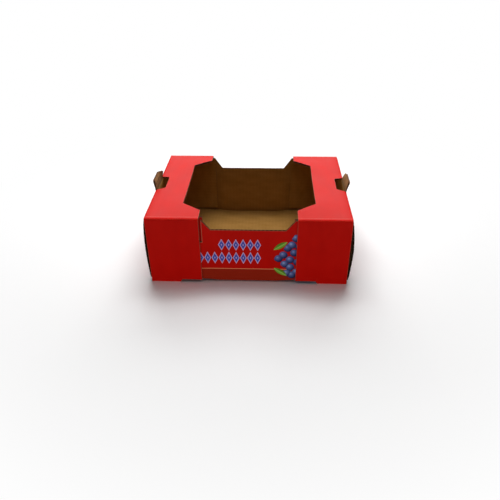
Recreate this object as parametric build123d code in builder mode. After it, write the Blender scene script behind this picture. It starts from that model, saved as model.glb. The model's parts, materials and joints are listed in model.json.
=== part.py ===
from build123d import *
import os
from math import atan2, cos, degrees, radians, sin

# Stacking tray box for soft fruit, folded and glued from one die-cut sheet of corrugated board.
# Millimetres. The origin is on the floor under the middle of the tray, +X runs along its length,
# +Y to the back and +Z up. The sheet is one piece: a base, two long walls, two end walls, a shelf
# over each end with a glued flap at its front and back, four corner flaps and two stacking tabs.

# Board
board = 4.0                     # thickness of the corrugated board
crease_radius = 3.5             # outside radius of a folded crease
knife_radius = 1.5              # radius that the cutting rule leaves in a corner

# Tray
tray_length = 399.0             # over the creases between the base and the end walls
tray_depth = 300.0              # over the glued flaps
tray_height = 146.0             # from the floor to the top of the shelves
foot_height = 4.0               # how far the feet hold the base off the floor
end_lean = 3.5                  # how far each end wall leans in on its way up
left_bow = 3.3                  # how far the left end wall bulges at mid-height
right_bow = 6.1                 # how far the right end wall bulges

# Shelves over the ends, measured in from the ends of the glued flaps
shelf_width = 67.0              # to the inner edge
arm_reach = 102.0               # to the inner edge of a corner arm
arm_width = 33.0                # straight edge of a corner arm, in from the glued flap
arm_slope = 27.5                # depth of the sloping edge between arm and shelf

# Glued flaps and the feet on them
foot_length = 58.0              # how far a foot runs in from the end of its flap
foot_step = 6.0                 # how far the rest of the flap stops above its foot
foot_slope = 3.5                # run of the slanted step behind a foot

# Notches in the long walls
notch_length = 144.5            # along the floor of the notch
notch_slope = 18.0              # run of each slanted side, up to the top of the wall
notch_depth = 22.5              # from the top of the wall down to the floor of the notch

# Relief slot in the front wall, beside the front left flap
slot_width = 6.0                # of the whole slot, part of it under the flap
slot_reveal = 4.0               # how much of that width the flap leaves open
slot_depth = 49.5               # from the top of the wall

# Corner flaps, glued inside the long walls
corner_flap_length = 108.0      # in from the end of the long wall
corner_flap_taper = 9.0         # how far the lower edge rises towards the free edge

# Stacking tabs, cut from the shelves and left standing on the end walls
tab_length = 70.0               # along the crease
tab_tip_length = 50.0           # along the free edge
tab_height = 18.5               # from the crease to the free edge
tab_corner_radius = 5.0         # of the free corners
tab_offset = 4.5                # of the tab's middle, towards the back
left_tab_lean = 18.0            # degrees outwards
right_tab_lean = 28.0           # degrees outwards

# Sockets over the base creases, which take the tabs of the tray below
socket_clearance = 3.0          # round a tab
socket_reach = 8.0              # into the base, from the inside of the end wall

# Places that follow from those sizes
base_x = tray_length / 2
top_x = base_x - end_lean
wall_x = base_x - board
flap_y = tray_depth / 2
wall_y = flap_y - board
wall_inside_y = wall_y - board
corner_flap_y = wall_inside_y - board
base_top = foot_height + board
shelf_bottom = tray_height - board
crease_level = tray_height - board / 2
arm_x = wall_x - arm_reach
shelf_x = wall_x - shelf_width
arm_end_y = flap_y - arm_width
shelf_end_y = arm_end_y - arm_slope
notch_floor = shelf_bottom - notch_depth
corner_flap_x = wall_x - corner_flap_length
socket_x = base_x - board - socket_reach
beyond = 2 * tray_length        # reaches past the tray on every side


# Band of board round the length: base, end walls and, still uncut, the shelves over them
with BuildPart() as band:
    with BuildSketch(Plane.XZ) as band_outline:
        with BuildLine():
            middle_x = (base_x + top_x) / 2
            middle_level = (foot_height + tray_height) / 2
            right_middle = (middle_x + right_bow, middle_level)
            left_middle = (-middle_x - left_bow, middle_level)
            Line((-base_x, foot_height), (base_x, foot_height))
            ThreePointArc((base_x, foot_height), right_middle, (top_x, tray_height))
            Line((top_x, tray_height), (-top_x, tray_height))
            ThreePointArc((-top_x, tray_height), left_middle, (-base_x, foot_height))
        make_face()
        band_inside = offset(amount=-board, mode=Mode.PRIVATE)
        fillet(band_outline.vertices(), crease_radius)
        add(band_inside, mode=Mode.SUBTRACT)
    extrude(amount=wall_inside_y, both=True)

# Corner flaps, folded in from the end walls and glued to the inside of the long walls
with BuildPart() as corner_flaps:
    with BuildSketch(Plane.XZ):
        add(band_inside)
        with BuildLine():
            Polyline(
                (0, base_top),
                (wall_x, base_top),
                (corner_flap_x, base_top + corner_flap_taper),
                (corner_flap_x, shelf_bottom),
                (0, shelf_bottom),
            )
            mirror(about=Plane.YZ)
        make_face(mode=Mode.SUBTRACT)
    extrude(amount=wall_inside_y, both=True)
    with BuildSketch(Plane.XY):
        Rectangle(beyond, 2 * corner_flap_y)
    extrude(amount=tray_height, mode=Mode.SUBTRACT)

# End walls between base and shelf, with their corner flaps and a rounded crease at each corner
with BuildPart() as end_walls:
    add(band.part)
    with BuildSketch(Plane.XY.offset(base_top)):
        Rectangle(beyond, beyond)
    extrude(amount=shelf_bottom - base_top, mode=Mode.INTERSECT)
    add(corner_flaps.part)
    bowed_edges = end_walls.edges().filter_by(GeomType.CIRCLE).group_by(Axis.Y)
    fillet(bowed_edges[0] + bowed_edges[-1], crease_radius)

# Long walls, folded up from the base, each with its notch
with BuildPart() as long_walls:
    with BuildSketch(Plane.XZ) as wall_outline:
        with BuildLine():
            half_floor = notch_length / 2
            half_mouth = half_floor + notch_slope
            Polyline(
                (0, foot_height),
                (wall_x, foot_height),
                (wall_x, shelf_bottom),
                (half_mouth, shelf_bottom),
                (half_floor, notch_floor),
                (0, notch_floor),
            )
            mirror(about=Plane.YZ)
        make_face()
        notch_corners = wall_outline.vertices().group_by(Axis.Y)[1]
        fillet(notch_corners, knife_radius)
    extrude(amount=wall_y, both=True)
    with BuildSketch(Plane.XY):
        Rectangle(beyond, 2 * wall_inside_y)
    extrude(amount=tray_height, mode=Mode.SUBTRACT)
    base_edges = long_walls.edges().filter_by(Axis.X).group_by(Axis.Z)[0].sort_by(Axis.Y)
    fillet((base_edges[0], base_edges[-1]), crease_radius)
    with BuildSketch(Plane.XZ.offset(wall_inside_y)):
        with Locations((-arm_x + slot_reveal, shelf_bottom)):
            Rectangle(slot_width, slot_depth, align=(Align.MAX, Align.MAX))
    extrude(amount=board, mode=Mode.SUBTRACT)

# Flaps glued over the ends of the long walls: they hang from the shelves and end in the feet
with BuildPart() as glued_flaps:
    with BuildSketch(Plane.XZ):
        with BuildLine():
            foot_x = wall_x - foot_length
            Polyline(
                (arm_x, tray_height),
                (wall_x, tray_height),
                (wall_x, 0),
                (foot_x, 0),
                (foot_x - foot_slope, foot_step),
                (arm_x, foot_step),
                close=True,
            )
        make_face()
        mirror(about=Plane.YZ)
    extrude(amount=flap_y, both=True)
    with BuildSketch(Plane.YZ):
        Rectangle(2 * wall_y, shelf_bottom, align=(Align.CENTER, Align.MIN))
        Rectangle(2 * wall_inside_y, tray_height, align=(Align.CENTER, Align.MIN))
    extrude(amount=base_x, both=True, mode=Mode.SUBTRACT)
    top_edges = glued_flaps.edges().filter_by(Axis.X).group_by(Axis.Z)[-1].group_by(Axis.Y)
    fillet(top_edges[0] + top_edges[-1], crease_radius)


def stacking_tab(lean):
    """Tab at the +X end: it goes on upwards from the end wall and leans outwards by lean degrees."""
    rise = tab_height * cos(radians(lean))
    run = tab_height * sin(radians(lean))
    with BuildPart() as tab:
        with BuildSketch(Plane.XZ):
            with BuildLine():
                outside = Polyline(
                    (top_x, shelf_bottom),
                    (top_x, crease_level),
                    (top_x + run, crease_level + rise),
                )
                offset(outside, amount=board, side=Side.LEFT)
            make_face()
        extrude(amount=tab_length, both=True)
        with BuildSketch(Plane.YZ):
            with Locations((tab_offset, shelf_bottom)):
                slope = atan2(rise, (tab_length - tab_tip_length) / 2)
                Trapezoid(
                    tab_length,
                    rise + 2 * board,
                    degrees(slope),
                    align=(Align.CENTER, Align.MIN),
                )
        extrude(amount=beyond, mode=Mode.INTERSECT)
        free_edge = tab.faces().sort_by(Axis.Z)[-1]
        fillet(free_edge.edges().filter_by(Axis.Y, reverse=True), tab_corner_radius)
    return tab.part


right_tab = stacking_tab(right_tab_lean)
left_tab = mirror(stacking_tab(left_tab_lean), about=Plane.YZ)

# Socket at the +X end: a cut across the base crease, part in the base and part in the end wall
with BuildPart() as socket:
    socket_length = tab_length + 2 * socket_clearance
    socket_top = tab_height - board / 2 + socket_clearance
    with BuildSketch(Plane.XY.offset(foot_height)) as base_cut:
        with Locations((socket_x, tab_offset)):
            Rectangle(beyond, socket_length, align=(Align.MIN, Align.CENTER))
        fillet(base_cut.vertices().group_by(Axis.X)[0], knife_radius)
    extrude(amount=board)
    with BuildSketch(Plane.YZ.offset(socket_x)) as wall_cut:
        with BuildLine():
            tip_length = tab_tip_length + 2 * socket_clearance
            Polyline(
                (tab_offset - socket_length / 2, foot_height),
                (tab_offset + socket_length / 2, foot_height),
                (tab_offset + tip_length / 2, socket_top),
                (tab_offset - tip_length / 2, socket_top),
                close=True,
            )
        make_face()
        fillet(wall_cut.vertices().group_by(Axis.Y)[-1], tab_corner_radius)
    extrude(amount=beyond)

# The tray itself: the folded panels as one sheet, with the cuts that the knives left in it
with BuildPart() as tray:
    add(band.part)
    with BuildSketch(Plane.XY.offset(base_top)):
        Rectangle(beyond, beyond)
    extrude(amount=shelf_bottom - base_top, mode=Mode.SUBTRACT)
    add(end_walls.part)
    add(long_walls.part)
    add(glued_flaps.part)
    add(corner_flaps.part)

    # Opening between the shelves, with a sloping step behind each corner arm
    with BuildSketch(Plane.XY.offset(shelf_bottom)) as opening:
        with BuildLine():
            Polyline(
                (0, flap_y),
                (arm_x, flap_y),
                (arm_x, arm_end_y),
                (shelf_x, shelf_end_y),
                (shelf_x, -shelf_end_y),
                (arm_x, -arm_end_y),
                (arm_x, -flap_y),
                (0, -flap_y),
            )
            mirror(about=Plane.YZ)
        make_face()
        fillet(opening.vertices().filter_by_position(Axis.Y, -arm_end_y, arm_end_y), knife_radius)
    extrude(amount=board, mode=Mode.SUBTRACT)

    # Holes that the stacking tabs left in the shelves
    with BuildSketch(Plane.XY.offset(shelf_bottom)) as holes:
        with BuildLine():
            Polyline(
                (beyond, tab_offset + tab_length / 2),
                (top_x, tab_offset + tab_length / 2),
                (top_x - tab_height, tab_offset + tab_tip_length / 2),
                (top_x - tab_height, tab_offset - tab_tip_length / 2),
                (top_x, tab_offset - tab_length / 2),
                (beyond, tab_offset - tab_length / 2),
                close=True,
            )
        make_face()
        fillet(holes.vertices().group_by(Axis.X)[0], tab_corner_radius)
        mirror(about=Plane.YZ)
    extrude(amount=board, mode=Mode.SUBTRACT)

    add(right_tab)
    add(left_tab)
    add(socket.part, mode=Mode.SUBTRACT)
    add(mirror(socket.part, about=Plane.YZ), mode=Mode.SUBTRACT)

tray.part.label = "tray"
os.makedirs("parts", exist_ok=True)
export_step(tray.part, "parts/tray.step")
print(f"board area {tray.part.volume / board / 1e6:.3f} square metres")
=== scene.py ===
# %% [markdown]
# # A stacking tray of corrugated board
#
# The real tray is one sheet of single-wall corrugated board. A press prints its outer liner, a steel
# rule cuts and creases it, and a machine folds and glues it. So this lesson builds it the same way:
# every panel starts flat, between two cut lines, and is then folded into place by a formula.
#
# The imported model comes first. It is a fixed frame, and everything here is fitted to it.

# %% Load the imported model
import json
from math import atan2, cos, hypot, pi, radians, sin, tan

import bpy
import numpy as np
from mathutils import Matrix, Vector


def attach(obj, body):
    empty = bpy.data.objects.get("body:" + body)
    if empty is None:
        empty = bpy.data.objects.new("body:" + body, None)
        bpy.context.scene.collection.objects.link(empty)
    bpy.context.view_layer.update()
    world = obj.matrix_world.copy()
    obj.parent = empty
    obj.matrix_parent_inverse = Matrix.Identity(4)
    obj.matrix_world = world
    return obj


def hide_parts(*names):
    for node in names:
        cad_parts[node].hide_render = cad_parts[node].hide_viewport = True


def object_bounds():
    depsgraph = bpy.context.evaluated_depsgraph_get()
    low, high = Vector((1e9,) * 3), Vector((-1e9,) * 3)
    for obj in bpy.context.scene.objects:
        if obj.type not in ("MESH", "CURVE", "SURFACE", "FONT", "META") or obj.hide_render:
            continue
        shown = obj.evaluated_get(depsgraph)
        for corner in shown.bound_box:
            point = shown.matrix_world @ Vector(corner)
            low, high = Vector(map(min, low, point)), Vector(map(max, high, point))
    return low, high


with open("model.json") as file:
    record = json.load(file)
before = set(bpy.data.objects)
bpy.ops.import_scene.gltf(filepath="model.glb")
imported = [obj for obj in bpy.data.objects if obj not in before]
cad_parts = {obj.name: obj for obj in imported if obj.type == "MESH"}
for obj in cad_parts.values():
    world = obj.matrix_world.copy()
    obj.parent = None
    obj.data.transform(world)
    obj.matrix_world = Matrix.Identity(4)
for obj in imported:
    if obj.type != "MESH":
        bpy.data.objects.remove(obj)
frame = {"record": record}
cad_low, cad_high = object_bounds()
print("packed model, mm:", [round(side * 1000, 1) for side in cad_high - cad_low])

# %% [markdown]
# ## Sizes
#
# All sizes are in millimetres, because that is how a board maker thinks. The depth and the height of
# the shelves are read from the frame. The rest are the tray's driving sizes. What differs from side to
# side is kept by side: 1 is the right end or the back, and -1 is the left end or the front.

# %% Sizes of the tray
MM = 0.001
mounts = {mount["name"]: mount["pos_m"] for mount in frame["record"]["mounts"]}
ends = {1: "right", -1: "left"}
long_sides = {-1: "front", 1: "back"}
tray_corners = [(end, side, f"{long_sides[side]}_{ends[end]}") for end in ends for side in long_sides]

tray_length = 399.0             # over the creases between base and end walls
tray_depth = (cad_high[1] - cad_low[1]) / MM    # over the glued flaps
tray_height = mounts["shelf_top"][2] / MM
foot_height = 4.0
end_lean = 3.5                  # how far an end wall leans in on its way up
bows = {1: 6.1, -1: 3.3}        # how far an end wall bulges

board = 4.0
liner = 0.35                    # paper on each face of the board
medium = 0.25                   # the waved paper between the liners
flute_pitch = 8.0               # from wave to wave
crease_radius = 3.5
knife_radius = 1.5

shelf_width, arm_reach, arm_width, arm_slope = 65.5, 102.0, 33.0, 27.5
foot_length, foot_step, foot_slope = 58.0, 6.0, 3.5
notch_length, notch_slope, notch_depth = 144.5, 18.0, 22.5
slot_width, slot_reveal, slot_depth = 6.0, 4.0, 49.5
corner_flap_length, corner_flap_taper = 108.0, 9.0
tab_length, tab_tip_length, tab_height, tab_corner_radius = 70.0, 50.0, 18.5, 5.0
tab_offset = 4.5                # how far behind the middle of its end wall a tab stands
tab_square = 7.0                # how much less the back side of a tab slants than its front side
tab_leans = {1: radians(28.0), -1: radians(18.0)}
socket_clearance, socket_reach = 3.0, 8.0

# %% Places that follow from the sizes
base_x = tray_length / 2
top_x = base_x - end_lean
wall_x = base_x - board
flap_y = tray_depth / 2
wall_y = flap_y - board
corner_flap_y = wall_y - board
base_top = foot_height + board
shelf_bottom = tray_height - board
arm_x = wall_x - arm_reach
shelf_x = wall_x - shelf_width
arm_end_y = flap_y - arm_width
shelf_end_y = arm_end_y - arm_slope
notch_floor = shelf_bottom - notch_depth
corner_flap_x = wall_x - corner_flap_length
slot_right = slot_reveal - arm_x
slot_left = slot_right - slot_width
print("shelves at", round(tray_height, 2), "flaps at", round(flap_y, 2), "corners", len(tray_corners))

# %% [markdown]
# ## Folding
#
# Seen from its end, a folded strip of board is a line that walks straight, turns at a crease and walks
# on. A bowed wall is the same thing with a long, small turn. Bending a finished plate with a modifier
# would stretch it at the creases. `walk` follows the line along the outer face of the board instead, so
# lengths stay true, and one function folds the base, the walls, the shelves and the tabs.

# %% Walk along a folded strip
walk_step = 0.05


def walk(start, heading, runs):
    """Outer face of a folded strip, in its own plane.

    Runs are pairs of length and turn in radians. The heading grows evenly over each run, and the
    place is the sum of the steps (cos heading, sin heading). Gives a function of the distance walked
    that returns the two coordinates and the heading there, and the distance at the end of each run.
    """
    marks = np.concatenate(([0.0], np.cumsum([length for length, turn in runs])))
    headings = heading + np.concatenate(([0.0], np.cumsum([turn for length, turn in runs])))
    distance = np.linspace(0.0, marks[-1], int(marks[-1] / walk_step) + 1)
    angle = np.interp(distance, marks, headings)
    halfway = (angle[1:] + angle[:-1]) / 2
    steps = np.diff(distance)
    across = start[0] + np.concatenate(([0.0], np.cumsum(steps * np.cos(halfway))))
    upward = start[1] + np.concatenate(([0.0], np.cumsum(steps * np.sin(halfway))))

    def at(s):
        return np.interp(s, distance, across), np.interp(s, distance, upward), np.interp(s, distance, angle)

    return at, marks


# %% [markdown]
# ## Cutting
#
# A panel is laid out flat, `a` across and `w` along. Two cut lines, low and high, bound it. Each is a
# polyline that may jump, as at the side of a slot. Holes could be cut with boolean modifiers, but those
# leave long slivers that shade badly. Here a regular grid is clipped to the cut lines, and what
# collapses is dropped, so a notch, a slot or a slanted edge needs no special case.

# %% Cut a panel out of a grid
hair = 1e-6                     # how far inside its own sides a column reads the cut lines
least_area = 0.5e-4             # triangles smaller than this count as collapsed


def lines(marks, step):
    """Grid lines through every mark, with more between them, so that none is further apart than step."""
    marks = np.unique(np.round(marks, 4))
    spans = [np.linspace(p, q, int(np.ceil((q - p) / step)) + 1) for p, q in zip(marks[:-1], marks[1:])]
    return np.unique(np.round(np.concatenate(spans), 4))


def cut_line(points):
    """Height of a cut line at any place across: straight between its points."""
    across, along = np.round(points, 4).T
    return lambda a: np.interp(a, across, along)


def cut_panel(columns, rows, low_cut, high_cut, margin):
    """Flat triangles of a panel. The first and the last row follow the cut lines. The others are moved
    to stay between them, and at least the margin away from both where there is room."""
    sides = []
    for a in (columns[:-1] + hair, columns[1:] - hair):
        low_side, high_side = low_cut(a), high_cut(a)
        inset = np.minimum(margin, (high_side - low_side) / 2)
        between_rims = np.clip(rows[:, None], low_side + inset, high_side - inset)
        sides.append(np.concatenate([low_side[None], between_rims, high_side[None]]))
    left, right = sides
    a_left = np.broadcast_to(columns[:-1], left.shape)
    a_right = np.broadcast_to(columns[1:], right.shape)
    corners = np.stack(
        [
            np.stack([a_left[:-1], left[:-1]], -1),
            np.stack([a_right[:-1], right[:-1]], -1),
            np.stack([a_right[1:], right[1:]], -1),
            np.stack([a_left[1:], left[1:]], -1),
        ],
        axis=-2,
    )
    flat, index = np.unique(np.round(corners.reshape(-1, 2), 3), axis=0, return_inverse=True)
    quads = index.reshape(-1, 4)
    triangles = np.concatenate([quads[:, [0, 1, 2]], quads[:, [0, 2, 3]]])
    p, q, r = (flat[triangles[:, k]] for k in range(3))
    area = ((q[:, 0] - p[:, 0]) * (r[:, 1] - p[:, 1]) - (r[:, 0] - p[:, 0]) * (q[:, 1] - p[:, 1])) / 2
    return flat, triangles[area > least_area]


def rounded(points, radius, steps=5):
    """Polyline with each inner corner replaced by an arc of that radius, tangent to both sides. The
    arc is its first and its last radius, weighted with sines, so that their sum keeps its length."""
    points = np.array(points, float)
    result = [points[0]]
    for before, corner, after in zip(points[:-2], points[1:-1], points[2:]):
        back = (before - corner) / np.linalg.norm(before - corner)
        on = (after - corner) / np.linalg.norm(after - corner)
        half_angle = np.arccos(np.clip(back @ on, -1, 1)) / 2
        share = np.linspace(0, 1, steps + 1)[:, None]
        inward = (back + on) / np.linalg.norm(back + on)
        centre = corner + inward * radius / np.sin(half_angle)
        first = corner + back * radius / np.tan(half_angle) - centre
        last = corner + on * radius / np.tan(half_angle) - centre
        swing = pi - 2 * half_angle
        arc = (first * np.sin((1 - share) * swing) + last * np.sin(share * swing)) / np.sin(swing)
        result.extend(centre + arc)
    result.append(points[-1])
    return np.array(result)


# %% [markdown]
# ## A tray that has been used
#
# A real tray isn't straight: the free middle of a long wall leans, and a shelf springs up a little
# towards its open edge. Each panel could be bent by itself, but then glued panels would part. One field
# of small shifts does this to all panels at once, so what is glued together moves together.

# %% Let the tray settle
wall_lean = {1: 7.0, -1: 1.0}   # how far the back and the front wall stand in at their notch
foot_share = 0.6                # share of this at the foot of the wall
wall_start, wall_fade = 0.9, 0.08    # from where it grows, and over what, in shares of half the inside
lean_flat, lean_fade = 66.0, 32.0    # half the stretch that leans fully, and over what it fades
base_sag = 3.0                  # how far the middle of the base hangs down
sag_flat, sag_fade = 50.0, 45.0
end_shifts = {1: (-0.6, 35.0, 40.0), -1: (2.3, 140.0, 170.0)}    # shift outwards, height and reach
back_leans = {1: 0.9, -1: 1.6}  # how much further an end wall leans in at its back end
back_start, back_fade = 150.0, 40.0
shelf_lifts = {(1, 1): 2.0, (1, -1): 2.6, (-1, 1): 1.6, (-1, -1): 1.4}    # by end and side


def ramp(value, start, length):
    """Zero up to the start, one from a length further on, and straight in between."""
    return np.clip((value - start) / length, 0, 1)


def swell(x):
    """Smooth bump: one at zero, level there, and zero from one on. It is a squared cosine."""
    return np.cos(np.clip(np.abs(x), 0, 1) * pi / 2) ** 2


def settle(points):
    """Points of the straight tray, shifted as use has left them.

    The wall shift grows from its share at the foot with the square of the height, and fades from the
    notch to the shelves. The sag fades with the height and towards the ends. The shelf shift grows
    evenly from the crease, is greatest where an arm begins, and fades out on both sides. The end shift
    moves the front of an end wall sideways at one height. The back lean grows with the height and
    evenly from front to back.
    """
    x, y, z = points.T
    moved = points.copy()
    to_front = np.clip(0.5 - y / tray_depth, 0, 1)
    lean = np.where(y > 0, wall_lean[1], wall_lean[-1])
    at_wall = ramp(np.abs(y), wall_start * corner_flap_y, wall_fade * corner_flap_y)
    upward = foot_share + (1 - foot_share) * ramp(z, 0, notch_floor) ** 2
    moved[:, 1] -= np.sign(y) * lean * at_wall * swell(ramp(np.abs(x), lean_flat, lean_fade)) * upward
    in_middle = swell(ramp(np.abs(x), sag_flat, sag_fade))
    moved[:, 2] -= base_sag * in_middle * (1 - ramp(z, 0, notch_floor))
    from_crease = np.clip((wall_x - np.abs(x)) / shelf_width, 0, arm_reach / shelf_width)
    at_shelf = ramp(z, shelf_bottom - board, board) * (np.abs(x) > arm_x - board)
    near_arm = swell((np.abs(y) - shelf_end_y) / (flap_y - shelf_end_y))
    for (end, side), lift in shelf_lifts.items():
        here = (np.sign(x) == end) * (np.sign(y) == side)
        moved[:, 2] += lift * here * near_arm * from_crease * at_shelf
    for end, (shift, height, reach) in end_shifts.items():
        here = np.sign(x) == end
        at_corner = here * ramp(np.abs(x), wall_x, board / 2) * to_front
        moved[:, 0] += end * shift * at_corner * swell((z - height) / reach)
        at_back = here * ramp(np.abs(x), back_start, back_fade) * (1 - to_front)
        moved[:, 0] -= end * back_leans[end] * at_back * z / tray_height
    return moved


probe = np.array([[0.0, corner_flap_y, notch_floor], [0.0, 0.0, foot_height]])
print("shift of the back notch and of the base, mm:", np.round(settle(probe) - probe, 2).tolist())

# %% [markdown]
# ## Finishes
#
# Colours are written as hex, the way a printer's swatch is read off a screen, and turned to linear
# light by one function. Every node that a material is given comes from `add`, so a material reads like
# a list of formulas.

# %% Hex colours to linear light


def linear(hex_colour):
    """Linear colour from an sRGB hex string: dark values are divided by 12.92, and the others are
    shifted, scaled and raised to the power 2.4."""
    channels = np.array([int(hex_colour[i : i + 2], 16) for i in (1, 3, 5)]) / 255
    flat_part = channels / 12.92
    curved_part = ((channels + 0.055) / 1.055) ** 2.4
    return (*np.where(channels <= 0.04045, flat_part, curved_part), 1.0)


print("middle grey in linear light:", round(float(linear("#808080")[0]), 3))

# %% Add a shader node


def plug(tree, node, inputs):
    """Links outputs of other nodes to the inputs of a node, and sets the inputs that are plain values."""
    for key, value in inputs.items():
        if isinstance(value, bpy.types.NodeSocket):
            tree.links.new(value, node.inputs[key])
        else:
            node.inputs[key].default_value = value


def add(tree, kind, inputs=(), out=0, stops=(), **settings):
    """Adds a shader node and gives one of its outputs. Inputs are values or outputs of other nodes, in
    the order of its sockets or by their names. Stops are the places and hex colours of a ramp."""
    node = tree.nodes.new("ShaderNode" + kind)
    for key, value in settings.items():
        setattr(node, key, value)
    plug(tree, node, inputs if isinstance(inputs, dict) else dict(enumerate(inputs)))
    if stops:
        elements = node.color_ramp.elements
        elements[0].position, elements[-1].position = stops[0][0], stops[-1][0]
        for place, colour in stops[1:-1]:
            elements.new(place)
        for element, (place, colour) in zip(elements, stops):
            element.color = linear(colour)
    return node.outputs[out]


# These settings make a Mix node mix colours. Its input 0 is the mask, 6 is the colour where the mask
# is zero, and 7 is the colour where it is one.
in_colour = {"out": 2, "data_type": "RGBA"}


def new_material(name):
    """A material, its node tree and its Principled shader."""
    material = bpy.data.materials.new(name)
    material.use_nodes = True
    return material, material.node_tree, material.node_tree.nodes["Principled BSDF"]


# %% [markdown]
# Flutes and fibres belong to the sheet, so patterns are placed on it before it is folded: the UV map
# `sheet` of each piece holds the flat place of every point, the first coordinate across the flutes. On
# object coordinates the stripes would spread out wherever a panel turns.

# %% Place a pattern on the flat sheet


def on_sheet(tree, across, along):
    """Place on the flat sheet, in units of so many millimetres across the flutes and along them."""
    flat = add(tree, "UVMap", uv_map="sheet")
    return add(tree, "Mapping", {"Vector": flat, "Scale": (1 / (across * MM), 1 / (along * MM), 1)})


def washboard(tree):
    """Wave of the liner where it is drawn in between the flutes: the cosine of the place across them."""
    across = add(tree, "SeparateXYZ", [on_sheet(tree, flute_pitch, flute_pitch)])
    turn = add(tree, "Math", [across, 2 * pi], operation="MULTIPLY")
    return add(tree, "Math", [turn], operation="COSINE")


# %% [markdown]
# The outside is white-top liner, offset printed in solid red and sealed with a thin satin varnish. It
# is a full red with a soft sheen. The liner is drawn in between the flutes, which gives faint stripes,
# handling leaves shallow dents, and the ink sinks in unevenly. Along a crease it cracks, and along a
# cut it chips off, and there the paper shows.

# %% Red offset print under varnish
stripe_depth = 0.02             # how far the liner is drawn in between two flutes
ink_clouds = (30.0, 60.0)       # size of an uneven patch, across the flutes and along them
crack_size = (1.2, 2.5)         # real cracks are hairs, so they are drawn coarser to show
ink_grain, grain_relief = (0.9, 2.4), 0.03    # uneven paper under the ink, drawn coarser too
dent_size, dent_relief = (45.0, 70.0), 1.5
ink_dark, ink_light = "#c80b03", "#d20e05"
cracked_ink, chipped_ink = "#f0806a", "#d87a66"
# Where cracks and chips begin, where they are full, and how much of the paper shows then.
crack_cover = {"From Min": 0.4, "From Max": 0.65, "To Max": 0.14}
chip_cover = {"From Min": 1.1, "From Max": 1.4, "To Max": 0.5}
ink_roughness = {"To Min": 0.38, "To Max": 0.5}    # from patch to patch
crease_roughness = 0.35         # what a crease adds to it
# An IOR of 1.5 is that of varnish. It lies thin and broken on the paper, so little of it mirrors.
varnish = {"IOR": 1.5, "Specular IOR Level": 0.058, "Specular Tint": (1.0, 0.97, 0.87, 1.0)}


def red_print(name, artwork=None):
    """Red print. Artwork is a function that draws over the red and gives the new colour. The ink is
    cracked where noise times the nearness of a crease is high, and chipped where noise is high within
    the rim of a cut."""
    material, tree, shader = new_material(name)
    clouds = add(tree, "TexNoise", {"Vector": on_sheet(tree, *ink_clouds), "Scale": 1.0, "Detail": 4.0})
    colour = add(tree, "ValToRGB", [clouds], stops=[(0.3, ink_dark), (0.7, ink_light)])
    if artwork:
        colour = artwork(tree, colour)
    cracks = add(tree, "TexNoise", {"Vector": on_sheet(tree, *crack_size), "Scale": 1.0, "Detail": 3.0})
    crease = add(tree, "Attribute", attribute_name="crease", out="Fac")
    cracked = add(tree, "Math", [cracks, crease], operation="MULTIPLY")
    cracked = add(tree, "MapRange", {"Value": cracked, **crack_cover})
    colour = add(tree, "Mix", {0: cracked, 6: colour, 7: linear(cracked_ink)}, **in_colour)
    edge = add(tree, "Attribute", attribute_name="edge", out="Fac")
    chipped = add(tree, "Math", [cracks, edge], operation="ADD")
    chipped = add(tree, "MapRange", {"Value": chipped, **chip_cover})
    colour = add(tree, "Mix", {0: chipped, 6: colour, 7: linear(chipped_ink)}, **in_colour)
    grain = add(tree, "TexNoise", {"Vector": on_sheet(tree, *ink_grain), "Scale": 1.0, "Detail": 3.0})
    fine = add(tree, "Math", [grain, grain_relief], operation="MULTIPLY")
    dents = add(tree, "TexNoise", {"Vector": on_sheet(tree, *dent_size), "Scale": 1.0, "Detail": 1.0})
    relief = add(tree, "Math", [dents, dent_relief, fine], operation="MULTIPLY_ADD")
    relief = add(tree, "Math", [washboard(tree), stripe_depth, relief], operation="MULTIPLY_ADD")
    bump = add(tree, "Bump", {"Strength": 1.0, "Distance": MM, "Height": relief})
    roughness = add(tree, "MapRange", {"Value": clouds, **ink_roughness})
    roughness = add(tree, "Math", [crease, crease_roughness, roughness], operation="MULTIPLY_ADD")
    plug(tree, shader, {"Base Color": colour, "Normal": bump, "Roughness": roughness, **varnish})
    return material


# %% [markdown]
# The long sides carry more print. A dark band runs along the bottom under a thin pale stripe. The front
# also has two rows of lozenges and, towards the right, a field of shaded dots with two leaves. Such an
# ornament could be an image, but worked out from the place on the wall it stays sharp at any size.

# %% Stripe and band
band_low, band_high, band_ink = -10.0, 30.0, "#a02510"
stripe_low, stripe_high, stripe_ink = 30.3, 31.9, "#f09062"


def between(tree, value, low, high):
    """One where the value lies between low and high, and zero elsewhere."""
    return add(tree, "Math", [value, (low + high) / 2, (high - low) / 2], operation="COMPARE")


def on_wall(tree):
    """Place on a long wall in millimetres: the part along x and the part along z."""
    place = add(tree, "TexCoord", out="Object")
    place = add(tree, "Mapping", {"Vector": place, "Scale": (1 / MM, 1 / MM, 1 / MM)})
    return add(tree, "SeparateXYZ", [place], out="X"), add(tree, "SeparateXYZ", [place], out="Z")


def stripe_and_band(tree, colour):
    """Both are the stretch between two heights."""
    x, z = on_wall(tree)
    band = between(tree, z, band_low, band_high)
    colour = add(tree, "Mix", {0: band, 6: colour, 7: linear(band_ink)}, **in_colour)
    stripe = between(tree, z, stripe_low, stripe_high)
    return add(tree, "Mix", {0: stripe, 6: colour, 7: linear(stripe_ink)}, **in_colour)


# %% Lozenges
lozenge_pitch = 14.0
lozenge_rows = ((87.0, 14.0, -59.0, 25.0), (57.0, 15.0, -101.0, 25.0))    # height, half height, from, to
lozenge_inks = ((0.95, "#c9b0dd"), (0.68, "#4a52b8"), (0.2, "#c9b0dd"))


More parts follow.
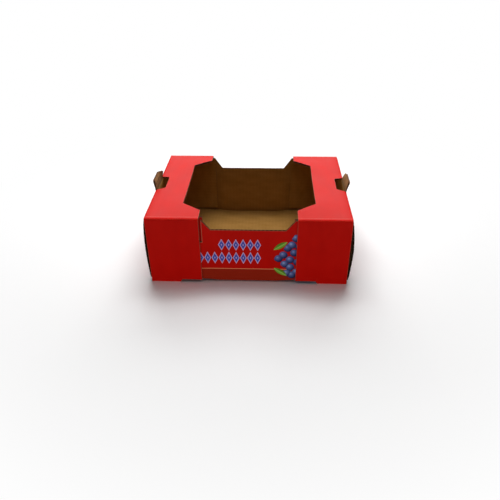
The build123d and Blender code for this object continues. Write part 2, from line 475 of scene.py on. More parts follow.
def lozenges(tree, colour, middle, half_height, from_x, to_x):
    """A row of lozenges at a height, in rings of ink. The distance to the nearest middle as a share of
    half the pitch, plus the share of the half height, is zero in the middle and one on the outline."""
    x, z = on_wall(tree)
    half_pitch = lozenge_pitch / 2
    sideways = add(tree, "Math", [x, from_x + half_pitch], operation="SUBTRACT")
    sideways = add(tree, "Math", [sideways, half_pitch], operation="PINGPONG")
    upward = add(tree, "Math", [z, middle], operation="SUBTRACT")
    upward = add(tree, "Math", [upward], operation="ABSOLUTE")
    upward = add(tree, "Math", [upward, half_pitch / half_height, sideways], operation="MULTIPLY_ADD")
    inside = between(tree, x, from_x, to_x)
    for share, ink in lozenge_inks:
        ring = add(tree, "Math", [upward, share * half_pitch], operation="LESS_THAN")
        ring = add(tree, "Math", [ring, inside], operation="MULTIPLY")
        colour = add(tree, "Mix", {0: ring, 6: colour, 7: linear(ink)}, **in_colour)
    return colour


# %% Dots
dot_pitch = 15.0
dot_radius = 0.56               # as a share of the pitch
dot_turn = radians(35)
dot_unevenness = 0.4            # how far a dot strays from its grid, where 1 is anywhere in its cell
dot_spread = 0.25               # how much darker one dot may be than another
dot_light = (-0.14, 0.18)       # place of a dot's highlight, as a share of the pitch
dot_inks = [(0.1, "#a3b2de"), (0.3, "#6674ad"), (0.62, "#3a4474"), (0.85, "#1b1f40")]
field_tip, field_height, field_step = 42.0, 55.0, 0.95


def turned(x, y, angle):
    """The flat direction x, y turned by an angle: x cos - y sin, x sin + y cos."""
    return x * cos(angle) - y * sin(angle), x * sin(angle) + y * cos(angle), 0.0


def dots(tree, colour):
    """Shaded dots on a slanted, slightly uneven grid. A dot shows if its middle lies in the field, a
    triangle with its tip to the left: x less the step times the height from the tip is over the tip.
    The ink darkens with the distance from the highlight."""
    flat = add(tree, "CombineXYZ", [*on_wall(tree), 0.0])
    scale = (1 / dot_pitch, 1 / dot_pitch, 1 / dot_pitch)
    grid = add(tree, "Mapping", {"Vector": flat, "Rotation": (0, 0, dot_turn), "Scale": scale})
    cell = {"Vector": grid, "Scale": 1.0, "Randomness": dot_unevenness}
    distance = add(tree, "TexVoronoi", cell, out="Distance", voronoi_dimensions="2D")
    middle = add(tree, "TexVoronoi", cell, out="Position", voronoi_dimensions="2D")
    chance = add(tree, "TexVoronoi", cell, out="Color", voronoi_dimensions="2D")
    middle_x, middle_z = (
        add(tree, "VectorMath", [middle, turned(*step, dot_turn)], "Value", operation="DOT_PRODUCT")
        for step in ((dot_pitch, 0), (0, dot_pitch))
    )
    above_tip = add(tree, "Math", [middle_z, field_height], operation="SUBTRACT")
    above_tip = add(tree, "Math", [above_tip], operation="ABSOLUTE")
    inward = add(tree, "Math", [above_tip, -field_step, middle_x], operation="MULTIPLY_ADD")
    in_field = add(tree, "Math", [inward, field_tip], operation="GREATER_THAN")
    mask = add(tree, "Math", [distance, dot_radius], operation="LESS_THAN")
    mask = add(tree, "Math", [mask, in_field], operation="MULTIPLY")
    local = add(tree, "VectorMath", [grid, middle], operation="SUBTRACT")
    light = turned(*dot_light, dot_turn)
    from_light = add(tree, "VectorMath", [local, light], "Value", operation="DISTANCE")
    tone = add(tree, "Math", [chance, dot_spread, from_light], operation="MULTIPLY_ADD")
    ink = add(tree, "ValToRGB", [tone], stops=dot_inks)
    return add(tree, "Mix", {0: mask, 6: colour, 7: ink}, **in_colour)


# %% Leaves
leaves = ((62.0, 86.0, 35.0), (63.0, 25.0, -35.0))    # place along x and z, and turn in degrees
leaf_half_length, leaf_half_width = 16.0, 5.5
leaf_inks = [(0.0, "#4f7a24"), (0.48, "#6da535"), (0.5, "#cfe08a"), (0.56, "#8fc64a"), (1.0, "#5f922c")]


def leaf(tree, colour, x, z, angle):
    """A leaf is what two equal circles share. Its vein is where both middles are equally far away."""
    flat = add(tree, "CombineXYZ", [*on_wall(tree), 0.0])
    radius = (leaf_half_length**2 + leaf_half_width**2) / (2 * leaf_half_width)
    sideways = turned(0, radius - leaf_half_width, angle)
    distances = []
    for side in (1, -1):
        middle = (x + side * sideways[0], z + side * sideways[1], 0.0)
        distances.append(add(tree, "VectorMath", [flat, middle], "Value", operation="DISTANCE"))
    farther = add(tree, "Math", distances, operation="MAXIMUM")
    inside = add(tree, "Math", [farther, radius], operation="LESS_THAN")
    across = add(tree, "Math", distances, operation="SUBTRACT")
    reach = leaf_half_width * 2
    shade = add(tree, "MapRange", {"Value": across, "From Min": -reach, "From Max": reach})
    ink = add(tree, "ValToRGB", [shade], stops=leaf_inks)
    return add(tree, "Mix", {0: inside, 6: colour, 7: ink}, **in_colour)


# %% Print of the front wall
slot_highlight_width, slot_highlight_ink = 1.3, "#cf5a45"    # how wide the painted highlight round the relief slot is


def front_artwork(tree, colour):
    """All of the print on the front wall, and a pale line beside its slot, a painted highlight on its rim."""
    x, z = on_wall(tree)
    # A pale band beside the slot and under its end: painted highlight on the rim.
    beside = between(tree, x, slot_left, slot_right + slot_highlight_width)
    above = between(tree, z, shelf_bottom - slot_depth - slot_highlight_width, tray_height)
    slot_highlight = add(tree, "Math", [beside, above], operation="MULTIPLY")
    colour = add(tree, "Mix", {0: slot_highlight, 6: colour, 7: linear(slot_highlight_ink)}, **in_colour)
    colour = stripe_and_band(tree, colour)
    for row in lozenge_rows:
        colour = lozenges(tree, colour, *row)
    colour = dots(tree, colour)
    for x_middle, z_middle, turn in leaves:
        colour = leaf(tree, colour, x_middle, z_middle, radians(turn))
    return colour


red_board = red_print("red_offset_print_satin_varnish")
back_board = red_print("red_offset_print_with_band", stripe_and_band)
front_board = red_print("red_offset_print_with_ornament", front_artwork)
print("nodes in the front print:", len(front_board.node_tree.nodes))

# %% [markdown]
# The inside is kraft liner, brown unbleached paper. Its long fibres lie along the machine direction,
# which on corrugated board runs across the flutes. It has clouds where the pulp lay thicker, the same
# faint stripes as the print, and almost no shine. In a crease it is painted darker, as painted shade,
# and on the tabs it is painted darker and greyer, as painted shade with a painted sheen. The medium
# between the liners is a dark, dull brown. A clean cut through a liner is a reddish brown. The cut
# liners beside the slit folds are painted as dark as the medium, as painted shade.

# %% Kraft liner, medium and cut liners
pulp_clouds = (40.0, 18.0)      # size of a cloud, across the flutes and along them
fibre_bundles, bundle_relief = (4.0, 0.8), 0.05    # bundles, because one fibre is too fine to show
fibre_share = 0.4               # how much the fibres count in the shade beside the clouds
# Along a crease the kraft is painted darker: painted shade in the fold.
crease_shade_brown, crease_shade_share = "#5c3f1e", 0.6
paper_shine = {"Roughness": 0.85, "Specular IOR Level": 0.15}


def brown_paper(name, dark, light, stripes=0.0):
    """Unprinted paper between two colours, with stripes of so much depth where the flutes stand. The
    shade is the clouds plus a share of the fibres, less the wave times twice that depth."""
    material, tree, shader = new_material(name)
    clouds = add(tree, "TexNoise", {"Vector": on_sheet(tree, *pulp_clouds), "Scale": 1.0, "Detail": 5.0})
    fibres = add(tree, "TexNoise", {"Vector": on_sheet(tree, *fibre_bundles), "Scale": 1.0, "Detail": 2.0})
    shade = add(tree, "Math", [fibres, fibre_share, clouds], operation="MULTIPLY_ADD")
    board_wave = washboard(tree)
    shade = add(tree, "Math", [board_wave, -2 * stripes, shade], operation="MULTIPLY_ADD")
    colour = add(tree, "ValToRGB", [shade], stops=[(0.45, dark), (0.95, light)])
    # Darker brown along a crease: painted shade in the fold.
    crease = add(tree, "Attribute", attribute_name="crease", out="Fac")
    crease_shade = add(tree, "Math", [crease, crease_shade_share], operation="MULTIPLY")
    colour = add(tree, "Mix", {0: crease_shade, 6: colour, 7: linear(crease_shade_brown)}, **in_colour)
    fine = add(tree, "Math", [fibres, bundle_relief], operation="MULTIPLY")
    relief = add(tree, "Math", [board_wave, -stripes, fine], operation="MULTIPLY_ADD")
    bump = add(tree, "Bump", {"Strength": 1.0, "Distance": MM, "Height": relief})
    plug(tree, shader, {"Base Color": colour, "Normal": bump, **paper_shine})
    return material


kraft_paper = brown_paper("kraft_liner_unbleached", "#986e32", "#ae8143", stripe_depth)
# A darker, greyer copy of the kraft for the tabs: painted shade with a painted sheen.
shaded_tab_kraft = brown_paper("kraft_liner_painted_shade_and_sheen", "#85623d", "#9a764c", stripe_depth)
medium_paper = brown_paper("fluting_medium_semichemical", "#40301f", "#523e28")
core_paper = brown_paper("liner_cut_edge", "#7d543a", "#936749")
# Nearly black cut liners for the slit folds: painted shade.
shaded_cut_paper = brown_paper("liner_cut_edge_painted_shade", "#3b2717", "#4c3422")
plain_papers = (red_board, kraft_paper, core_paper)
# slit_papers give the cut liners of the slit folds that painted shade.
slit_papers = (red_board, kraft_paper, shaded_cut_paper)
brown_papers = (kraft_paper, shaded_tab_kraft, medium_paper, core_paper, shaded_cut_paper)
print("brown papers:", ", ".join(paper.name for paper in brown_papers))

# %% [markdown]
# ## Layers of the board
#
# Corrugated board is two flat liners with a waved paper, the medium, glued between them. On a cut edge
# that runs across the flutes you see the wave. Paint or bump can't show that on an edge, so all three
# papers are modelled. Each is a closed skin: the flat panel placed at two depths, and a strip round
# every free edge. A Solidify modifier does the same, but here the two depths may differ from point to
# point, as the wave and the creases need.

# %% Close a flat panel into a skin


def skin(flat, triangles, place, outside, inside):
    """Closed skin between two depths. Free edges are those whose reverse no other triangle has, and
    the last array is one on their points and zero elsewhere."""
    count = len(flat)
    upper = place(flat, outside)
    lower = place(flat, inside)
    p, q, r = (upper[triangles[:, k]] for k in range(3))
    if np.sum(np.cross(q - p, r - p) * (upper - lower)[triangles[:, 0]]) < 0:
        triangles = triangles[:, ::-1]
    edges = np.concatenate([triangles[:, [0, 1]], triangles[:, [1, 2]], triangles[:, [2, 0]]])
    free = edges[~np.isin(edges[:, 0] * count + edges[:, 1], edges[:, 1] * count + edges[:, 0])]
    i, j = free.T
    strip = np.concatenate([np.stack([i, i + count, j + count], 1), np.stack([i, j + count, j], 1)])
    faces = np.concatenate([triangles, triangles[:, ::-1] + count, strip])
    cut = np.repeat([0, 1, 1], [len(triangles), len(triangles), len(strip)])
    at_edge = np.zeros(count)
    at_edge[free] = 1.0
    return np.concatenate([upper, lower]), faces, cut, np.tile(at_edge, 2)


# %% [markdown]
# Blender can take a mesh face by face, but whole arrays are far quicker, and a board has thousands of
# faces along its waves. `foreach_set` fills each part of the mesh in one call.

# %% Turn whole arrays into an object
sharp_angle = radians(35)
board_pieces = []


def board_piece(name, points, faces, cut, sheet, marks, materials):
    """One object from whole arrays. UV map sheet holds the place on the flat board, in metres. Marks are
    attributes with a value for each point. Cut faces take the last material."""
    mesh = bpy.data.meshes.new(name)
    mesh.vertices.add(len(points))
    mesh.vertices.foreach_set("co", (points * MM).astype(np.float32).ravel())
    mesh.loops.add(faces.size)
    mesh.loops.foreach_set("vertex_index", faces.astype(np.int32).ravel())
    mesh.polygons.add(len(faces))
    mesh.polygons.foreach_set("loop_start", np.arange(0, faces.size, 3, dtype=np.int32))
    mesh.polygons.foreach_set("material_index", (cut * (len(materials) - 1)).astype(np.int32))
    uv = mesh.uv_layers.new(name="sheet")
    uv.data.foreach_set("uv", (sheet[faces.ravel()] * MM).astype(np.float32).ravel())
    for mark, values in marks.items():
        attribute = mesh.attributes.new(mark, "FLOAT", "POINT")
        attribute.data.foreach_set("value", values.astype(np.float32))
    for material in materials:
        mesh.materials.append(material)
    mesh.update(calc_edges=True)
    mesh.validate()
    mesh.shade_smooth()
    mesh.set_sharp_from_angle(angle=sharp_angle)
    piece = bpy.data.objects.new(name, mesh)
    bpy.context.scene.collection.objects.link(piece)
    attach(piece, "root")
    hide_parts("tray")
    board_pieces.append(piece)


# %% [markdown]
# One function now makes any panel of the tray from its two cut lines and the formula that folds it. At
# a crease the board is pressed thin, and the attribute `crease` tells the materials where. Beside a cut
# the printed liner gets a narrow rim of its own, and the attribute `edge` lets its ink chip off there.

# %% Make the papers of a panel
coarse_step = 12.0              # grid step where nothing bends
wave_step = 1.0                 # grid step across the flutes, an eighth of a wave
crush = 0.45                    # share of the thickness that a crease presses out of the board
crush_reach = 3.0
rim = 1.6                       # how far from a cut the ink may be chipped off
all_layers = ("print", "flutes", "kraft")


def nearness(flat, creases):
    """One on a crease, falling off beside it by a bell curve. A crease is an axis and a place on it."""
    near = np.zeros(len(flat))
    for axis, place in creases:
        near = np.maximum(near, np.exp(-(((flat[:, axis] - place) / crush_reach) ** 2)))
    return near


def make_panel(
    name, across, along, low_cut, high_cut, place, papers, creases, waves_along=False, layers=all_layers
):
    """Outer liner, medium and inner liner of one panel, or those of them that layers names. Papers are
    the outer one, the inner one and the look of both along a cut.

    The medium's depth is half the board plus a cosine of the place across the flutes, so its crests
    just touch the liners. Only the outer liner has a rim.
    """
    outer_paper, inner_paper, cut_paper = papers
    low_cut, high_cut = np.array(low_cut), np.array(high_cut)
    swing = (board - 2 * liner - medium) / 2
    cut_a = np.concatenate([across, low_cut[:, 0], high_cut[:, 0]])
    cut_w = np.concatenate([along, low_cut[:, 1], high_cut[:, 1]])
    low_line, high_line = cut_line(low_cut), cut_line(high_cut)
    for layer in layers:
        fine = wave_step if layer == "flutes" else coarse_step
        step_a, step_w = (coarse_step, fine) if waves_along else (fine, coarse_step)
        margin = rim if layer == "print" else 0.0
        marks_a = np.clip(np.concatenate([cut_a, cut_a - margin, cut_a + margin]), min(across), max(across))
        marks_w = np.concatenate([cut_w, cut_w - margin, cut_w + margin])
        columns, rows = lines(marks_a, step_a), lines(marks_w, step_w)
        flat, triangles = cut_panel(columns, rows, low_line, high_line, margin)
        sheet = flat[:, ::-1] if waves_along else flat
        wave = swing * np.cos(2 * pi * sheet[:, 0] / flute_pitch) - board / 2
        depths, slot, materials = {
            "print": ((0.0, -liner), "printed_board", (outer_paper, cut_paper)),
            "flutes": ((wave + medium / 2, wave - medium / 2), "kraft_board", (medium_paper,)),
            "kraft": ((-board, liner - board), "kraft_board", (inner_paper, cut_paper)),
        }[layer]
        near = nearness(flat, creases)
        squeezed = [depth * (1 - crush * near) for depth in depths]
        points, faces, cut, at_edge = skin(flat, triangles, place, *squeezed)
        points, sheet = settle(points), np.tile(sheet, (2, 1))
        marks = {"crease": np.tile(near, 2), "edge": at_edge}
        board_piece(f"{name}_{layer}", points, faces, cut, sheet, marks, materials)


# %% [markdown]
# ## The creased band: base, end walls and shelves
#
# From the end, the base, an end wall and a shelf are one walk: along the base, round the bottom
# crease, up the bowed wall, round the top crease and back in over the shelf. The flutes lie along the
# other direction, so this walk also counts the waves. The panels could be folded one by one about
# hinges, but a single walk makes each start exactly where the last one ends.

# %% Fold the band


def band_walk(side):
    """Walk for the right or the left half. The wall is an arc, whose sagitta is the bow."""
    height = tray_height - foot_height
    chord = hypot(height, end_lean)
    lean = atan2(end_lean, height)
    half_turn = 2 * atan2(2 * bows[side], chord)
    first, last = pi / 2 + lean - half_turn, pi / 2 - lean - half_turn
    in_base, in_shelf = crease_radius * tan(first / 2), crease_radius * tan(last / 2)
    wall = chord / sin(half_turn) * half_turn - in_base - in_shelf
    runs = [
        (base_x - in_base, 0.0),
        (crease_radius * first, first),
        (wall, 2 * half_turn),
        (crease_radius * last, last),
        (base_x, 0.0),
    ]
    return walk((0.0, foot_height), 0.0, runs)


bands = {side: band_walk(side) for side in ends}
for side, (at, marks) in bands.items():
    x, z, heading = at(marks[1:5])
    print("side", side, "turns at x", np.round(x, 2), "z", np.round(z, 2), np.round(np.degrees(heading), 1))


def on_band(side, w, depth):
    """Point at distance w along the band and at that depth along the normal, the heading turned right."""
    x, z, heading = bands[side][0](w)
    return x + depth * np.sin(heading), z - depth * np.cos(heading)


def place_band(side):
    """a is y, and w is the walk from the middle of the base."""

    def place(flat, depth):
        a, w = flat.T
        x, z = on_band(side, w, depth)
        return np.stack([side * x, a, z], 1)

    return place


def band_creases(side, first, last):
    """The middles of the creases from the first to the last, 0 at the base and 1 at the shelf."""
    marks = bands[side][1]
    return [(1, (marks[k] + marks[k + 1]) / 2) for k in (1, 3)[first:last]]


def crease_rows(marks, first, count=8):
    """Close grid lines over a crease, which starts at that mark."""
    return np.linspace(marks[first], marks[first + 1], count)


# %% [markdown]
# The base is the bottom of the tray. Each of its creases is cut through in the middle, and the tab of
# the tray below pushes up into this socket. It is one panel across both creases, with a cut line at
# each end.

# %% Base
band_y = corner_flap_y          # the band's panels end at the inside of the long walls
tab_half, tip_half = tab_length / 2, tab_tip_length / 2
tab_front, tab_back = tab_offset - tab_half, tab_offset + tab_half - tab_square
socket_half = tab_half + socket_clearance
socket_x = base_x - board - socket_reach


def place_base(flat, depth):
    """The base is walked both ways from its middle: positive w to the right, negative to the left."""
    a, w = flat.T
    right = np.stack(on_band(1, np.maximum(w, 0), depth))
    left = np.stack(on_band(-1, np.maximum(-w, 0), depth))
    x, z = np.where(w >= 0, right, left)
    return np.stack([np.where(w >= 0, x, -x), a, z], 1)


def base_cut(side):
    """End of the base: the end of its crease, or the socket's edge."""
    end = side * bands[side][1][2]
    socket = side * socket_x
    before, behind = tab_offset - socket_half, tab_offset + socket_half
    return [(-band_y, end), (before, end), (before, socket), (behind, socket), (behind, end), (band_y, end)]


base_rows = np.concatenate([crease_rows(bands[1][1], 1), -crease_rows(bands[-1][1], 1)])
base_creases = band_creases(1, 0, 1) + [(1, -place) for axis, place in band_creases(-1, 0, 1)]
band_sides = (-band_y, band_y)
base_cuts = (base_cut(-1), base_cut(1))
make_panel("base", band_sides, base_rows, *base_cuts, place_base, plain_papers, base_creases, True)
print("socket edges at x", round(socket_x, 2))

# %% [markdown]
# A shelf is the top of each end. The next tray stands on it, and two slanted arms lead from it to the
# long walls. The tab is pushed out of it, which leaves a hole at the crease. The two could be measured
# apart, but they were one piece of board, so they share their sizes.

# %% Shelves


def make_shelf(side, name):
    """The low cut is the crease, with the hole that the tab leaves. The high cut is the open edge."""
    at, marks = bands[side]
    crease, flat_start = marks[3], marks[4]
    start_x = float(at(flat_start)[0])

    def shelf_w(x):
        return flat_start + start_x - x

    hole = rounded(
        [
            (tab_front, shelf_w(top_x)),
            (tab_offset - tip_half, shelf_w(top_x - tab_height)),
            (tab_offset + tip_half, shelf_w(top_x - tab_height)),
            (tab_back, shelf_w(top_x)),
        ],
        tab_corner_radius,
    )
    hole = [(tab_front, crease), *hole[hole[:, 1] >= crease], (tab_back, crease)]
    low_cut = [(-band_y, crease), *hole, (band_y, crease)]
    arm_w, inner_w = shelf_w(arm_x), shelf_w(shelf_x)
    half_edge = [(band_y, arm_w), (arm_end_y, arm_w), (shelf_end_y, inner_w)]
    high_cut = rounded([(-y, w) for y, w in half_edge] + half_edge[::-1], knife_radius)
    creases = band_creases(side, 1, 2)
    rows = crease_rows(marks, 3)
    make_panel(name, band_sides, rows, low_cut, high_cut, place_band(side), plain_papers, creases, True)


for side, end_name in ends.items():
    make_shelf(side, f"{end_name}_shelf")
print("shelves end at x", round(shelf_x, 2), "and their arms at x", round(arm_x, 2))

# %% [markdown]
# ## End walls
#
# An end wall belongs to corner flaps that are folded in and glued inside the long walls. The fold is
# slit from outside, so the wall is made as a panel of its own, which ends at the middle of each fold
# with a cut side. There the open flutes show, and the cut liners are painted dark, as painted shade.
# On a used tray the wall has swollen outwards, so this side shows beside the flaps.

# %% End walls
turn_start = band_y - crease_radius
wall_end = turn_start + crease_radius * pi / 4
wall_samples = 400              # points at which the height of the bowed wall is looked up


def make_end_wall(side, name):
    """The low cut has the socket. Beside the corner flaps both cuts step in to the height of the flaps."""
    at, marks = bands[side]
    bottom, top = marks[2], marks[3]
    walked = np.linspace(bottom, top, wall_samples)
    height = at(walked)[1]

    def at_height(z):
        return np.interp(z, height, walked)

    socket_top = at_height(tab_height - board / 2 + socket_clearance)
    socket_tip = tip_half + socket_clearance
    socket = rounded(
        [
            (tab_offset - socket_half, bottom),
            (tab_offset - socket_tip, socket_top),
            (tab_offset + socket_tip, socket_top),
            (tab_offset + socket_half, bottom),
        ],
        tab_corner_radius,
    )
    flap_bottom, flap_top = at_height(base_top), at_height(shelf_bottom)
    half_low = [(wall_end, flap_bottom), (turn_start, flap_bottom), (turn_start, bottom)]
    half_high = [(wall_end, flap_top), (turn_start, flap_top), (turn_start, top)]
    low_cut = [(-a, w) for a, w in half_low] + list(socket) + half_low[::-1]
    high_cut = [(-a, w) for a, w in half_high] + half_high[::-1]
    creases = band_creases(side, 0, 2)
    sides = (-wall_end, wall_end)
    # The cut side of the wall takes the dark cut liners: painted shade.
    make_panel(name, sides, (bottom, top), low_cut, high_cut, place_band(side), slit_papers, creases, True)


for side, end_name in ends.items():
    make_end_wall(side, f"{end_name}_end_wall")
print("end walls reach to y", round(wall_end, 2))

# %% [markdown]
# ## Corner flaps
#
# A corner flap stays flat against its long wall. Only its lower free corner has come unstuck and curls
# into the tray, more at the back than at the front, and behind the relief slot the whole free end
# stands off. The fold is slit, so only the inner liner goes on from the flap to the swollen end wall,
# as a hinge, whose cut edges are painted dark as painted shade. From outside the slit is a dark gap. A
# dark line could be painted there, but only a real gap shows from every side.

# %% Corner flaps
slit_width = 1.5
slit_x = wall_x - slit_width
fold_samples = 100
curl_length, curl_height = 45.0, 60.0
curl_columns, curl_rows = 10, 13     # grid lines over the curl
flap_curls = {(-1, 1): (9, 0), (1, 1): (5, 0), (-1, -1): (1, 7), (1, -1): (1, 0)}    # by end and side


def fold_line(end, z):
    """Where the inner face of an end wall stands at a height. The corner flaps are folded there."""
    at, marks = bands[end]
    x, height = on_band(end, np.linspace(marks[2], marks[3], fold_samples), -board)
    return np.interp(z, height, x)


def place_corner_flap(end, side):
    """a is the distance from the middle of the tray, and w is the height. Up to the slit the flap is
    straight. From there the hinge stretches evenly to the fold on the bowed wall. The curl grows with
    the square of the distance to the flat part, along the flap and down it, and the standoff along the
    flap only."""
    curl, standoff = flap_curls[end, side]

    def place(flat, depth):
        a, w = flat.T
        x = a + ramp(a, slit_x, slit_width) * (fold_line(end, w) - wall_x)
        outwards = np.clip(1 - (a - corner_flap_x) / curl_length, 0, 1)
        downwards = np.clip(1 - (w - base_top) / curl_height, 0, 1)
        inward = outwards**2 * (standoff + curl * downwards**2)
        return np.stack([end * x, side * (corner_flap_y - inward + depth), w], 1)

    return place


corner_low = [(corner_flap_x, base_top + corner_flap_taper), (slit_x, base_top)]
corner_high = [(corner_flap_x, shelf_bottom), (slit_x, shelf_bottom)]
hinge_low = [(slit_x, base_top), (wall_x, base_top)]
hinge_high = [(slit_x, shelf_bottom), (wall_x, shelf_bottom)]
columns = np.append(np.linspace(corner_flap_x, corner_flap_x + curl_length, curl_columns), slit_x)
rows = np.linspace(base_top, base_top + curl_height, curl_rows)
for end, side, corner in tray_corners:
    place, hinge = place_corner_flap(end, side), (slit_x, wall_x)
    make_panel(f"{corner}_corner_flap", columns, rows, corner_low, corner_high, place, plain_papers, [], True)
    name = f"{corner}_corner_hinge"
    # The hinge's cut edges take the same painted shade.
    make_panel(name, hinge, rows, hinge_low, hinge_high, place, slit_papers, [], True, ("kraft",))
print("right fold at x", np.round(fold_line(1, [base_top, tray_height / 2, shelf_bottom]), 2))

# %% [markdown]
# ## Long walls
#
# A long wall is folded up from the base and carries the notch, through which a hand reaches in. The
# front one has a short relief slot beside the left flap. The flutes stand upright in both walls, so
# the wave shows along the notch. The walls and the flaps outside them are strips that fold in the
# other plane, so they share one formula.

# %% Long walls
wall_runs = [
    (wall_y - crease_radius - corner_flap_y, 0.0),
    (crease_radius * pi / 2, pi / 2),
    (tray_height, 0.0),
]
wall_walk, wall_marks = walk((corner_flap_y, foot_height), 0.0, wall_runs)
wall_creases = [(1, (wall_marks[1] + wall_marks[2]) / 2)]
wall_top = wall_marks[2] + shelf_bottom - foot_height - crease_radius


def place_strip(strip, end, side):
    """a is the distance from the middle towards that end, and w walks along a strip in the plane of y
    and z. The depth goes along the normal, the heading turned right."""

    def place(flat, depth):
        a, w = flat.T
        y, z, heading = strip(w)
        return np.stack([end * a, side * (y + depth * np.sin(heading)), z - depth * np.cos(heading)], 1)

    return place


def make_long_wall(side, name, outer_paper, slot=()):
    """The low cut is where the wall leaves the base. The high cut is the top with the notch, and the
    slot as a jump down and up again."""
    half_floor = notch_length / 2
    half_mouth = half_floor + notch_slope
    floor_w = wall_top - notch_depth
    notch = rounded([(-half_mouth, wall_top), (-half_floor, floor_w), (0, floor_w)], knife_radius)
    notch = [*notch, *[(-a, w) for a, w in notch[::-1]]]
    high_cut = [(-wall_x, wall_top), *slot, *notch, (wall_x, wall_top)]
    low_cut = [(-wall_x, 0.0), (wall_x, 0.0)]
    sides, rows = (-wall_x, wall_x), np.append(crease_rows(wall_marks, 1), 0.0)
    place, papers = place_strip(wall_walk, 1, side), (outer_paper, kraft_paper, core_paper)
    make_panel(name, sides, rows, low_cut, high_cut, place, papers, wall_creases)


slot_floor = wall_top - slot_depth
slot = [(slot_left, wall_top), (slot_left, slot_floor), (slot_right, slot_floor), (slot_right, wall_top)]
make_long_wall(-1, "front_wall", front_board, slot)
make_long_wall(1, "back_wall", back_board)
print("relief slot from x", round(slot_left, 2), "to", round(slot_right, 2))

# %% [markdown]
# ## Glued flaps and feet
#
# Each shelf hangs over both long walls with a flap that is glued to them, so the corner is three boards
# thick and carries the stack. Its outer half reaches below the base as a foot. The flap is walked from
# its foot up and over on to the shelf, where it meets the shelf's own panel.

# %% Glued flaps
flap_runs = [
    (tray_height - crease_radius, 0.0),
    (crease_radius * pi / 2, pi / 2),
    (flap_y - crease_radius - corner_flap_y, 0.0),
]
flap_walk, flap_marks = walk((flap_y, 0.0), pi / 2, flap_runs)
flap_creases = [(1, (flap_marks[1] + flap_marks[2]) / 2)]
foot_x = wall_x - foot_length
flap_low = [(arm_x, foot_step), (foot_x - foot_slope, foot_step), (foot_x, 0.0), (wall_x, 0.0)]
flap_high = [(arm_x, flap_marks[3]), (wall_x, flap_marks[3])]
flap_sides, rows = (arm_x, wall_x), crease_rows(flap_marks, 1)
for end, side, corner in tray_corners:
    place, name = place_strip(flap_walk, end, side), f"{corner}_flap"
    make_panel(name, flap_sides, rows, flap_low, flap_high, place, plain_papers, flap_creases)
print("feet from x", round(foot_x, 2), "to", round(wall_x, 2))

# %% [markdown]
# ## Stacking tabs
#
# A tab is cut from the shelf and stays on the end wall, so it shows its kraft side to the inside. It
# bends outwards over a short, pressed crease, and its back end has been knocked, inwards on the left
# and down on the right. Its walk starts where that of the end wall stops.

# %% Stacking tabs
tab_bend = 3.0                  # length of the crease of a tab
ear = 12.0                      # length of the bent back end of a tab
ear_start = tab_back - ear
ear_bends = {1: (0.0, 0.22), -1: (0.45, 0.0)}    # how far it is bent inwards and down, as slopes


def make_tab(side, name):
    """The panel goes on from the top of the end wall, upright at first, then round its crease. The bend
    of the back end grows with the distance behind its start times the distance above the crease."""
    x, z, heading = bands[side][0](bands[side][1][3])
    upright = tray_height - board / 2 - z
    turn = pi / 2 - tab_leans[side] - heading
    runs = [(upright, 0.0), (tab_bend, turn), (tab_height + tab_corner_radius, 0.0)]
    tab_walk, marks = walk((x, z), heading, runs)

    def place(flat, depth):
        a, w = flat.T
        x, z, heading = tab_walk(w)
        x = x + depth * np.sin(heading)
        z = z - depth * np.cos(heading)
        bent = ramp(a, ear_start, ear) * np.clip(w - marks[1], 0, None)
        inward, down = ear_bends[side]
        return np.stack([side * (x - inward * bent), a, z - down * bent], 1)

    base_w, tip_w = marks[1], marks[1] + tab_height
    tips = [(tab_offset - tip_half, tip_w), (tab_offset + tip_half, tip_w)]
    outline = rounded([(tab_front, base_w), *tips, (tab_back, base_w)], tab_corner_radius)
    low_cut = [(tab_front, 0.0), (tab_back, 0.0)]
    crease = [(1, (marks[1] + marks[2]) / 2)]
    sides, rows = (tab_front, ear_start, tab_back), crease_rows(marks, 1)
    # The tab's kraft side takes the darker, greyer copy: painted shade with a painted sheen.
    papers = (red_board, shaded_tab_kraft, core_paper)
    make_panel(name, sides, rows, low_cut, outline, place, papers, crease, True)


for side, end_name in ends.items():
    make_tab(side, f"{end_name}_tab")
counts = [len(piece.data.polygons) for piece in board_pieces]
print(len(counts), "pieces,", sum(counts), "triangles, the largest", max(counts))

# %% [markdown]
# ## Floor, light and camera
#
# The tray stands on a plain pale floor. The light comes from above and from far behind: the lamps above
# light the inside and the tops, and those behind give the tops an even sheen and leave the inside of
# the back wall dark. A low card in front lights the fronts but doesn't reach over them.
#
# The white background could be overlit, but that would wash the tray out. Instead the floor and the
# world look white only to the rays that show them, and give the tray little light of their own.

# %% Floor
scene = bpy.context.scene
scene.view_settings.view_transform = "Standard"
floor_half = 8.0                # in metres, as are the next two
fade_start, fade_end = 0.28, 0.75    # where the lit floor goes over into plain white
floor_bounce, white = "#808080", "#ffffff"


def camera_sees(tree):
    """One for rays that show the background itself: to the camera, mirrored or through something."""
    seen = add(tree, "LightPath", out="Is Camera Ray")
    for kind in ("Is Glossy Ray", "Is Transmission Ray"):
        other = add(tree, "LightPath", out=kind)
        seen = add(tree, "Math", [seen, other], operation="MAXIMUM")
    return seen


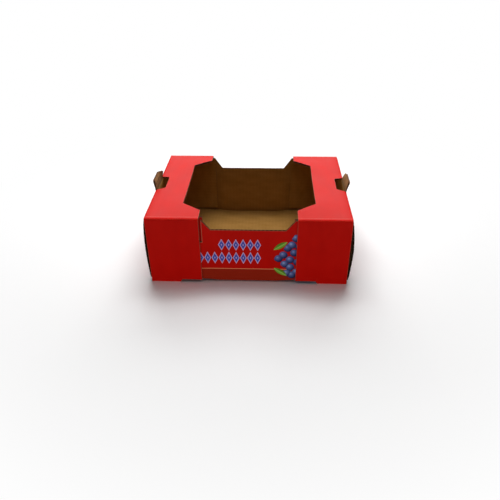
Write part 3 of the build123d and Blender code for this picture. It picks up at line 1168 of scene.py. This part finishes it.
def pale_floor():
    """A white floor that takes the tray's shadow. To the camera it fades into plain white outwards. In
    what it throws back on the tray it is a middle grey, so that the low card lights the fronts evenly."""
    material, tree, shader = new_material("white_paper_sweep")
    seen = camera_sees(tree)
    colour = add(tree, "Mix", {0: seen, 6: linear(floor_bounce), 7: linear(white)}, **in_colour)
    plug(tree, shader, {"Base Color": colour, "Roughness": 1.0, "Specular IOR Level": 0.0})
    place = add(tree, "TexCoord", out="Object")
    outward = add(tree, "VectorMath", [place], "Value", operation="LENGTH")
    fade = {"Value": outward, "From Min": fade_start, "From Max": fade_end}
    fade = add(tree, "MapRange", fade, interpolation_type="SMOOTHSTEP")
    plain = add(tree, "Math", [fade, seen], operation="MULTIPLY")
    glow = add(tree, "Emission", {"Color": linear(white), "Strength": 1.0})
    both = add(tree, "MixShader", [plain, shader.outputs[0], glow])
    plug(tree, tree.nodes["Material Output"], {"Surface": both})
    return material


floor_mesh = bpy.data.meshes.new("floor")
floor_corners = [(x * floor_half, y * floor_half, 0.0) for x, y in ((-1, -1), (1, -1), (1, 1), (-1, 1))]
floor_mesh.from_pydata(floor_corners, [], [(0, 1, 2, 3)])
floor_mesh.materials.append(pale_floor())
floor = bpy.data.objects.new("floor", floor_mesh)
scene.collection.objects.link(floor)
print("floor, m:", 2 * floor_half, "square")

# %% World
ambient_strength = 0.03
world = bpy.data.worlds.new("studio")
scene.world = world
world.use_nodes = True
tree = world.node_tree
ambient = add(tree, "Background", {"Color": linear(white), "Strength": ambient_strength})
backdrop = add(tree, "Background", {"Color": linear(white), "Strength": 1.0})
surround = add(tree, "MixShader", [camera_sees(tree), ambient, backdrop])
plug(tree, tree.nodes["World Output"], {"Surface": surround})
print("light from all around:", ambient_strength, "of the white that the camera sees")

# %% Lights
aim = Vector((0.0, 0.0, tray_height / 2 * MM))


def soft_light(name, place, size, power):
    """A rectangular area light that faces the tray, and that the camera doesn't see. Its place and
    size are in metres, and its power is in watts."""
    data = bpy.data.lights.new(name, "AREA")
    data.shape = "RECTANGLE"
    data.size, data.size_y = size
    data.energy = power
    light = bpy.data.objects.new(name, data)
    light.location = place
    light.rotation_euler = (aim - Vector(place)).to_track_quat("-Z", "Y").to_euler()
    light.visible_camera = False
    scene.collection.objects.link(light)


soft_light("overhead", (0.0, -0.15, 0.9), (0.6, 0.3), 1.0)
soft_light("overhead_middle", (0.0, 0.35, 1.6), (1.0, 0.5), 7.5)
soft_light("overhead_behind", (0.0, 0.6, 1.5), (1.2, 0.6), 10.5)
soft_light("behind_high", (0.0, 2.4, 2.0), (3.0, 1.2), 52.0)
soft_light("behind_low", (0.0, 2.8, 1.3), (3.6, 1.2), 16.0)
soft_light("front_card", (0.0, -0.9, 0.03), (1.6, 0.06), 3.15)
soft_light("left_side", (-1.8, 0.0, 0.5), (0.8, 0.6), 2.0)
all_watts = sum(lamp.energy for lamp in bpy.data.lights)
print("lamps:", len(bpy.data.lights), "with", round(all_watts, 2), "watts")

# %% [markdown]
# The camera stands a metre in front of the tray and looks down on it. It could be aimed by eye. Here
# its place, its three turns and its lens were fitted until the tray's corners fell where they should.

# %% Camera
camera_place = (39.73, -964.32, 620.08)
camera_down, camera_left, camera_roll = radians(33.576), radians(2.552), radians(-0.594)
focal_length, sensor_width = 36.51, 36.0
camera_data = bpy.data.cameras.new("camera")
camera_data.sensor_width = sensor_width
camera_data.lens = focal_length
camera = bpy.data.objects.new("camera", camera_data)
aimed = Matrix.Rotation(camera_left, 4, "Z") @ Matrix.Rotation(pi / 2 - camera_down, 4, "X")
aimed = aimed @ Matrix.Rotation(camera_roll, 4, "Z")
camera.matrix_world = Matrix.Translation(Vector(camera_place) * MM) @ aimed
scene.collection.objects.link(camera)
scene.camera = camera
print("camera to tray, mm:", round(hypot(*camera_place)))
